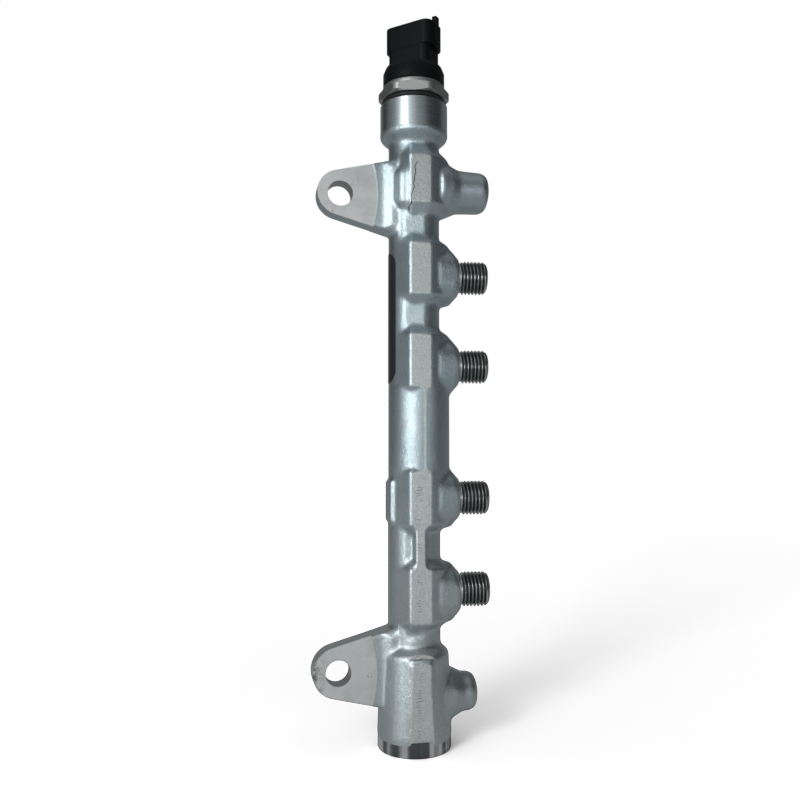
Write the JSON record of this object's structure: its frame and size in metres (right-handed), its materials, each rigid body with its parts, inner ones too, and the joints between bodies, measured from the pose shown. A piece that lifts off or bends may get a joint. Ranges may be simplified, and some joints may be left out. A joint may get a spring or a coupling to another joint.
{
  "type": "diesel fuel rail",
  "caption": "Forged steel high-pressure fuel rail with threaded line nipples, two mounting lugs, blind stubs and a screwed-in pressure sensor with a plug socket.",
  "frame": {"origin": "centre of the turned face on the rail's closed end", "axes": "+Z along the main bore towards the sensor, the mounting lugs reach out along -X with their bolt holes along Y, and the line nipples reach out on the +X side"},
  "size_m": [0.0737, 0.0298, 0.3039],
  "materials": {
    "zinc_plated_steel": "forged, zinc plated, satin, with turned and milled faces",
    "label_foil": "satin black foil, blank",
    "sensor_steel": "turned stainless steel",
    "seal_rubber": "black rubber",
    "board_laminate": "green solder resist",
    "contact_metal": "tinned brass",
    "housing_plastic": "black glass-filled nylon, satin"
  },
  "bodies": {
    "root": {"rail_body": "zinc_plated_steel", "lower_lug": "zinc_plated_steel", "upper_lug": "zinc_plated_steel", "label_foil": "label_foil", "sensor_body": "sensor_steel", "dust_seal": "seal_rubber", "pressure_cell": "sensor_steel", "circuit_board": "board_laminate", "housing_seal": "seal_rubber", "contact_pins": "contact_metal", "connector_housing": "housing_plastic"}
  },
  "joints": []
}
